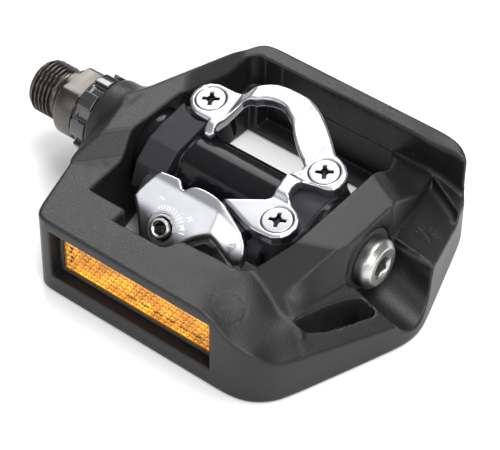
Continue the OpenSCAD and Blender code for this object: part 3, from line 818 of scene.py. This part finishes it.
def claw_coils(r, wire_r):
    """Two coils of three turns round the pin, each with a leg that runs down at its outer end."""
    low = PIN[0] - r, -3.4
    left = [(53.2, *low)] + coil(53.2, 55.8, 3, r, *PIN, math.pi)
    right = coil(59.6, 62.2, 3, r, *PIN, math.pi) + [(62.2, *low)]
    return tilted(joined("claw_spring_coils", [tube("coil", pts, wire_r) for pts in (left, right)]))


claw_spring = claw_coils(2.7, 0.42)
popup = tube("popup_spring_coil", coil(81.9, 83.8, 3, 9.0, 0, 0, 0.4, 40), 0.29)


# ---------- reflectors ----------

def prism_sheet(name, x0, x1, z0, z1, y, out, pitch, depth):
    """Rows of cube corners: three-sided pits and peaks over a rectangle, facing out along y."""
    rows = max(2, int(round((z1 - z0) / (pitch * 0.866))))
    dz = (z1 - z0) / rows
    cols = int((x1 - x0) / pitch)
    px = (x1 - x0) / cols
    verts, faces = [], []
    index = {}

    def vert(half, j):
        """A lattice point, kept inside the sheet: half counts half pitches, and j counts rows."""
        half = min(max(half, 0), 2 * cols)
        if (half, j) not in index:
            index[half, j] = len(verts)
            verts.append((min(max(x0 + half * px / 2, x0), x1), y, z0 + j * dz))
        return index[half, j]

    def centre(a, b, c):
        q = [(verts[a][k] + verts[b][k] + verts[c][k]) / 3 for k in range(3)]
        verts.append((q[0], y - out * depth, q[2]))
        return len(verts) - 1

    for j in range(rows):
        s = j % 2
        for i in range(-1, cols + 1):
            a0 = 2 * i + s
            lo = [vert(a0, j), vert(a0 + 2, j)]
            hi = [vert(a0 + 1, j + 1), vert(a0 + 3, j + 1)]
            for tri in ((lo[0], lo[1], hi[0]), (lo[1], hi[1], hi[0])):
                if len(set(tri)) < 3:
                    continue
                p = [verts[k] for k in tri]
                area = abs((p[1][0] - p[0][0]) * (p[2][2] - p[0][2]) - (p[2][0] - p[0][0])
                           * (p[1][2] - p[0][2]))
                if area < 0.02:
                    continue
                c = centre(*tri)
                for k in range(3):
                    faces.append((tri[k], tri[(k + 1) % 3], c))
    return solid(name, verts, faces, False, 1e-7, out)


def rounded_plate(name, lo, hi, r):
    """A flat box whose edges a modifier rounds to r."""
    ob = solid(name, [(x, y, z) for x in (lo[0], hi[0]) for y in (lo[1], hi[1]) for z in (lo[2], hi[2])],
               [(0, 1, 3, 2), (4, 6, 7, 5), (0, 4, 5, 1), (2, 3, 7, 6), (0, 2, 6, 4), (1, 5, 7, 3)], False)
    m = ob.modifiers.new("edge", "BEVEL")
    m.width = r * MM
    m.segments = 3
    return ob


def f_tray(x, y, z, s, face):
    """Shallow tray with a thin rim, open at its face; face is how far out the lens stands."""
    d = s * y
    outer = np.maximum(span(x, 30.55, 78.85), span(z, -11.25, 3.05))
    inner = np.maximum(span(x, 31.9, 77.1), span(z, -10.3, 1.9))
    body = smax(outer, np.maximum(face - 1.35 - d, d - face - 0.05), 0.2)
    return smax(body, -smax(inner, face - 0.95 - d, 0.2), 0.2)


def dash_marks(name, y0, y1):
    """Plain marks inside the lens: a row of dashes in threes, and a column of dots."""
    bits = []
    for i in range(18):
        x, z = 52.2 + 3.9 * (i // 3) + 0.85 * (i % 3), -7.15 + 0.22 * (i % 2)
        bits.append(rounded_plate("dash", (x, y0, z), (x + 0.6, y1, z + 0.34), 0.05))
    for i in range(5):
        x, z = 34.0 + 0.35 * (i % 2), -6.6 + 1.45 * i
        bits.append(rounded_plate("dot", (x, y0, z), (x + 0.75, y1, z + 0.5), 0.05))
    return joined(name, bits)


prisms, covers, trays, dashes = {}, {}, {}, {}
# the side of the pedal each reflector is on, and how far out its lens stands
for key, s, face in (("rear", -1, 39.3), ("front", 1, 40.25)):
    def layer(depth, height):
        """The lower and higher y of a layer between two distances from the lens's face."""
        return sorted((s * (face - depth), s * (face + height)))

    prisms[key] = prism_sheet(key + "_reflector_prisms", 32.4, 76.6, -9.7, 1.3, s * (face - 0.4), s, 1.75,
                              0.45)
    y0, y1 = layer(0.35, 0)
    covers[key] = rounded_plate(key + "_reflector_lens", (32.2, y0, -9.95), (76.8, y1, 1.55), 0.15)
    y0, y1 = layer(1.7, 0.5)
    trays[key] = mesh_field(key + "_tray_rimmed", lambda x, y, z: f_tray(x, y, z, s, face),
                            (30.0, y0, -11.9), (79.4, y1, 3.7), 0.3)
    dashes[key] = dash_marks(key + "_reflector_dashes", *layer(0.1, 0.06))


# ---------- materials ----------

def add(nt, kind, values=None, feeds=None, **settings):
    """A new shader node with its settings, its sockets' values and the sockets that feed it."""
    n = nt.nodes.new("ShaderNode" + kind)
    for key, value in settings.items():
        setattr(n, key, value)
    for key, value in (values or {}).items():
        n.inputs[key].default_value = value
    for key, source in (feeds or {}).items():
        nt.links.new(source, n.inputs[key])
    return n


def map_range(nt, source, values):
    """A socket scaled between the From and To values given."""
    return add(nt, "MapRange", values, {"Value": source}).outputs["Result"]


def mixed(nt, factor, a, b):
    """A colour between a and b, each of which is a colour or the socket that gives it."""
    values, feeds = {}, {"Factor": factor}
    for key, c in (("A", a), ("B", b)):
        (values if isinstance(c, tuple) else feeds)[key] = c
    return add(nt, "Mix", values, feeds, data_type="RGBA").outputs["Result"]


def tree_of(m):
    """A material's node tree and its Principled node."""
    return m.node_tree, m.node_tree.nodes["Principled BSDF"]


def mat(name, base, rough, metal=0.0, coat=0.0, grain=900, bump=0.2, bump_dist=0.00005, vary=0.08, tint=0.12,
        stretch=None, edge=0.0, spec=0.5, fine=False, painted_recess_shade=None):
    """A procedural finish: colour, roughness and bump all vary with the object's own coordinates."""
    m = bpy.data.materials.new(name)
    m.use_nodes = True
    nt, b = tree_of(m)
    co = add(nt, "TexCoord")
    mp = add(nt, "Mapping", feeds={"Vector": co.outputs["Object"]})
    if stretch:
        mp.inputs["Scale"].default_value = stretch

    def noise(scale, detail):
        values = {"Scale": scale, "Detail": detail}
        return add(nt, "TexNoise", values, {"Vector": mp.outputs["Vector"]}).outputs["Fac"]

    coarse = noise(grain / 12, 3.0)
    tiny = noise(grain, 2.0)
    limits = {"From Min": 0.25, "From Max": 0.75, "To Min": max(0.02, rough - vary),
              "To Max": min(1, rough + vary)}
    nt.links.new(map_range(nt, tiny if fine else coarse, limits), b.inputs["Roughness"])
    shades = [(*[min(1, c * (1 + k)) for c in base], 1) for k in (-tint, tint)]
    col = mixed(nt, coarse, shades[0], shades[1])
    if edge:
        # painted highlight: lighter along convex edges, where light catches the rounded edges
        g = add(nt, "NewGeometry")
        painted_edge_highlight = map_range(nt, g.outputs["Pointiness"], {"From Min": 0.515, "From Max": 0.58, "To Max": edge})
        col = mixed(nt, painted_edge_highlight, col, (*[min(1, c * 2.2 + 0.02) for c in base], 1))
    if painted_recess_shade:
        # painted shade: darker down in a recess, between two heights along an axis, where shade falls
        axis, low, high, factor = painted_recess_shade
        height = add(nt, "VectorMath", {1: axis}, {0: co.outputs["Object"]}, operation="DOT_PRODUCT")
        clear = map_range(nt, height.outputs["Value"], {"From Min": low * MM, "From Max": high * MM})
        col = mixed(nt, clear, (*[c * factor for c in base], 1), col)
    nt.links.new(col, b.inputs["Base Color"])
    bp = add(nt, "Bump", {"Strength": bump, "Distance": bump_dist}, {"Height": tiny})
    nt.links.new(bp.outputs["Normal"], b.inputs["Normal"])
    for key, value in (("Metallic", metal), ("Specular IOR Level", spec), ("Coat Weight", coat),
                       ("Coat Roughness", 0.06)):
        b.inputs[key].default_value = value
    return m


def put(ob, m):
    """Gives an object one material."""
    ob.data.materials.clear()
    ob.data.materials.append(m)


tilt_z = (0, -math.sin(TILT), math.cos(TILT))
bolt_z = (0, -0.7986, 0.6018)
# edge=0.35 paints a highlight along the resin's convex edges
resin = mat("resin", (0.0075, 0.0075, 0.0083), 0.42, grain=2600, bump=0.55, bump_dist=0.00012, vary=0.07,
            tint=0.1, edge=0.35, fine=True, spec=0.33)
tray = mat("tray", (0.018, 0.018, 0.019), 0.42, grain=2200, bump=0.3, bump_dist=0.00006)
steel = mat("spindle_steel", (0.085, 0.079, 0.073), 0.32, 1.0, grain=1500, bump=0.25, bump_dist=0.00004,
            stretch=(3, 1, 1), tint=0.2)
hard = mat("hard_steel", (0.62, 0.62, 0.64), 0.14, 1.0, grain=1500, bump=0.08, bump_dist=0.00002)
ring_black = mat("lock_ring", (0.012, 0.012, 0.014), 0.2, coat=0.6, grain=700, bump=0.12, bump_dist=0.00004)
seal = mat("seal", (0.022, 0.022, 0.022), 0.62, grain=1800, bump=0.3)
bush = mat("bush", (0.72, 0.70, 0.64), 0.45, grain=1200, bump=0.15)
plated = mat("plated_claw", (0.43, 0.435, 0.455), 0.31, 1.0, grain=1700, bump=0.16, bump_dist=0.00004,
             vary=0.05, tint=0.05)
# painted shade darkens the cross recesses of the claw screws
screw_plate = mat("plated_screw", (0.43, 0.43, 0.445), 0.3, 1.0, grain=1700, bump=0.14, bump_dist=0.00004,
                  tint=0.08, painted_recess_shade=(tilt_z, 9.9, 10.85, 0.1))
# painted shade darkens the hex socket of the end cap
silver = mat("cap_silver", (0.56, 0.55, 0.535), 0.36, 1.0, grain=2200, bump=0.2, bump_dist=0.00005, tint=0.07,
             painted_recess_shade=((1, 0, 0), 94.0, 96.2, 0.35))
wire = mat("spring_wire", (0.16, 0.15, 0.145), 0.3, 1.0, grain=1500, bump=0.15)
dark_plate = mat("dark_plate", (0.17, 0.165, 0.16), 0.42, 1.0, grain=1500, bump=0.25)
# painted shade darkens the hex socket of the adjusting bolt
bolt_steel = mat("bolt_steel", (0.50, 0.49, 0.47), 0.26, 1.0, grain=1500, bump=0.15, tint=0.12,
                 painted_recess_shade=(bolt_z, 18.0, 20.3, 0.1))
marks = mat("scale_marks", (0.93, 0.93, 0.94), 0.4, grain=1500, bump=0.1, tint=0.03)


def body_material():
    """Gloss black on the tube, satin on the collar and the outboard block."""
    m = mat("black_gloss", (0.006, 0.006, 0.007), 0.13, grain=500, bump=0.05, bump_dist=0.00003, vary=0.03,
            spec=0.12)
    nt, b = tree_of(m)
    co = add(nt, "TexCoord")
    sp = add(nt, "SeparateXYZ", feeds={"Vector": co.outputs["Object"]})

    def within(start, end):
        """1 between two places on X, each given as where the change begins and ends."""
        sides = [map_range(nt, sp.outputs["X"], {"From Min": p, "From Max": q}) for p, q in (start, end)]
        return add(nt, "Math", feeds={0: sides[0], 1: sides[1]}, operation="MULTIPLY").outputs[0]

    collar = within((0.0308, 0.0312), (0.0403, 0.0400))
    block = within((0.0682, 0.0686), (0.0798, 0.0795))
    satin = add(nt, "Math", feeds={0: collar, 1: block}, operation="MAXIMUM").outputs[0]
    col = b.inputs["Base Color"].links[0].from_socket
    rough = b.inputs["Roughness"].links[0].from_socket
    nt.links.new(mixed(nt, satin, col, (0.024, 0.0245, 0.027, 1)), b.inputs["Base Color"])
    blend = add(nt, "Mix", {"B": 0.42}, {"Factor": satin, "A": rough})
    nt.links.new(blend.outputs["Result"], b.inputs["Roughness"])
    return m


black = body_material()


def color_stops(node, stops):
    """Sets a colour ramp's first and last stops, then adds the ones between."""
    ends = node.color_ramp.elements
    for e, (at, c) in zip(ends, (stops[0], stops[-1])):
        e.position = at
        e.color = (*c, 1)
    for at, c in stops[1:-1]:
        ends.new(at).color = (*c, 1)


def amber_prism():
    """Painted light: each facet is painted lighter or darker by the way it faces, small cells of it are
    painted as yellow glints, and the same colour glows a little.
    """
    m = mat("amber_prisms", (0.90, 0.36, 0.012), 0.25, 0.2, coat=0.4, grain=700, bump=0.1, tint=0.25)
    nt, b = tree_of(m)
    g = add(nt, "NewGeometry")
    # painted light: facets that face up and inboard are painted lighter
    facing = add(nt, "VectorMath", {1: (-0.64, 0, 0.77)}, {0: g.outputs["True Normal"]},
                 operation="DOT_PRODUCT")
    co = add(nt, "TexCoord")
    # painted glints: noise cells push the colour up towards yellow
    cell = add(nt, "TexNoise", {"Scale": 240, "Detail": 1.5}, {"Vector": co.outputs["Object"]})
    both = add(nt, "Math", {1: 2.6}, {0: cell.outputs["Fac"], 2: facing.outputs["Value"]},
               operation="MULTIPLY_ADD")
    shade = map_range(nt, both.outputs[0], {"From Min": 0.45, "From Max": 2.2})
    r = add(nt, "ValToRGB", feeds={"Fac": shade})
    color_stops(r, [(0.0, (0.16, 0.045, 0.001)), (0.35, (0.46, 0.155, 0.004)), (0.72, (0.72, 0.30, 0.008)),
                    (1.0, (1.0, 0.66, 0.05))])
    # the painted shade and glints also drive the emission, a painted glow
    for key in ("Base Color", "Emission Color"):
        nt.links.new(r.outputs["Color"], b.inputs[key])
    b.inputs["Emission Strength"].default_value = 0.3
    return m


def amber_cover():
    """A clear amber lens that lets the prisms behind it show."""
    m = mat("amber_lens", (0.95, 0.42, 0.03), 0.07, grain=260, bump=0.12, bump_dist=0.0001, vary=0.03,
            tint=0.05)
    b = tree_of(m)[1]
    b.inputs["Alpha"].default_value = 0.13
    b.inputs["IOR"].default_value = 1.5
    return m


amber_back, amber_front = amber_prism(), amber_cover()


# ---------- which piece stands for what ----------

cage_body = mesh_field("cage_body", f_cage, (11.5, -43.6, -18), (108.6, 43.6, 12.2), 0.5, 2)

for ob, m, body_name, slot_name, node in (
        (cage_body, resin, "cage", "resin", "cage"),
        (spindle, steel, "spindle", "spindle_steel", "spindle"),
        (lock_ring, ring_black, "binding", "lock_ring", "lock_bolt"),
        (body, black, "binding", "black_gloss", "centre_body"),
        (front_claw, plated, "binding", "plated_claw", "front_claw"),
        (claw_screws, screw_plate, "binding", "plated_screw", "claw_screws"),
        (rear_claw, plated, "rear_claw", "plated_claw", "rear_claw"),
        (claw_marks, marks, "rear_claw", "plated_claw", None),
        (bolt, bolt_steel, "adjust_bolt", "bolt_steel", "adjust_bolt"),
        (cap, silver, "binding", "cap_silver", "end_cap"),
        (claw_spring, wire, "binding", "spring_wire", "claw_spring"),
        (popup, wire, "binding", "spring_wire", "popup_spring"),
        (prisms["rear"], amber_back, "cage", "amber_lens", None),
        (dashes["rear"], tray, "cage", "amber_lens", None),
        (dashes["front"], tray, "cage", "amber_lens", None),
        (trays["rear"], tray, "cage", "tray", "rear_holder"),
        (trays["front"], tray, "cage", "tray", "front_holder"),
        (covers["rear"], amber_front, "cage", "amber_lens", "rear_reflector"),
        (prisms["front"], amber_back, "cage", "amber_lens", None),
        (covers["front"], amber_front, "cage", "amber_lens", "front_reflector")):
    put(ob, m)
    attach(ob, body_name)
    if node:
        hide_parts(node)

# the pieces shown as the CAD has them: node, material and how far the edges are eased, in mm
for node, m, ease in (("bearing_cone", hard, 0), ("outer_cup", hard, 0), ("bearing_balls", hard, 0),
                      ("bushing", bush, 0), ("lock_nut", steel, 0.2), ("seal_ring", seal, 0.2),
                      ("end_washer", seal, 0.15), ("claw_pin", steel, 0.25),
                      ("spring_plate", dark_plate, 0.15), ("tension_nut", dark_plate, 0.3)):
    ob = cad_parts[node]
    put(ob, m)
    if ease:
        b = ob.modifiers.new("eased_edges", "BEVEL")
        b.width = ease * MM
        b.segments = 2
        b.limit_method = "ANGLE"
        b.angle_limit = math.radians(40)


# ---------- floor, light and camera ----------

def make_floor(half, z):
    """A square floor at height z, in metres."""
    me = bpy.data.meshes.new("studio_floor")
    me.from_pydata([(-half, -half, z), (half, -half, z), (half, half, z), (-half, half, z)], [],
                   [(0, 1, 2, 3)])
    floor = linked("studio_floor", me)
    put(floor, mat("studio_floor", (0.86, 0.86, 0.86), 0.7, grain=40, bump=0.02, tint=0.01, vary=0.03,
                   spec=0.2))


def make_world():
    """A sky that is dark at the horizon and light overhead, for the metal to mirror."""
    world = bpy.data.worlds.new("studio")
    bpy.context.scene.world = world
    world.use_nodes = True
    nt = world.node_tree
    bg = nt.nodes["Background"]
    co = add(nt, "TexCoord")
    sep = add(nt, "SeparateXYZ", feeds={"Vector": co.outputs["Generated"]})
    sky = add(nt, "ValToRGB", feeds={"Fac": sep.outputs["Z"]})
    color_stops(sky, [(0.0, (0.05, 0.05, 0.053)), (0.35, (0.20, 0.20, 0.205)), (1.0, (0.80, 0.80, 0.82))])
    nt.links.new(sky.outputs["Color"], bg.inputs["Color"])
    bg.inputs["Strength"].default_value = 1.0


def area(name, at, size, power, size_y=None):
    """An area lamp that faces the middle of the pedal."""
    lamp = bpy.data.lights.new(name, "AREA")
    lamp.energy = power
    lamp.size = size
    if size_y:
        lamp.shape = "RECTANGLE"
        lamp.size_y = size_y
    ob = linked(name, lamp)
    ob.location = at
    ob.rotation_euler = (Vector(PEDAL_MIDDLE) - Vector(at)).to_track_quat("-Z", "Y").to_euler()


def make_camera(azimuth, elevation, roll, place, focal_px, photo_width):
    """The camera solved from the photo: angles in degrees, place in mm, focal length in photo pixels."""
    az, el, ro = (math.radians(v) for v in (azimuth, elevation, roll))
    look = Vector((-math.sin(az) * math.cos(el), math.cos(az) * math.cos(el), -math.sin(el)))
    right = Vector((math.cos(az), math.sin(az), 0))
    up = right.cross(look)
    cam_x = math.cos(ro) * right + math.sin(ro) * up
    cam_y = -math.sin(ro) * right + math.cos(ro) * up
    cam = linked("camera", bpy.data.cameras.new("camera"))
    cam.data.sensor_width = 36
    cam.data.lens = focal_px / photo_width * cam.data.sensor_width
    cam.data.clip_start = 0.02
    cam.data.clip_end = 30
    at = Vector(place) * MM
    rows = [(cam_x[i], cam_y[i], -look[i], at[i]) for i in range(3)]
    cam.matrix_world = Matrix((*rows, (0, 0, 0, 1)))
    bpy.context.scene.camera = cam


PEDAL_MIDDLE = (0.055, 0, 0)
make_floor(6.0, -0.0168)
make_world()
area("top_softbox", (0.25, 0.25, 1.1), 0.7, 11)
area("right_softbox", (1.0, -0.5, 0.75), 0.7, 12)
area("wing_card", (0.20, -1.05, 0.50), 0.45, 2.8, 0.4)
area("plate_card", (-0.50, -0.97, 0.42), 0.6, 2.5)
area("left_strip", (-0.72, 0.86, 0.98), 0.5, 9, 0.7)
make_camera(37.90, 43.65, 0.77, (296.74, -307.57, 361.87), 2210, 500)
bpy.context.scene.view_settings.view_transform = "Standard"
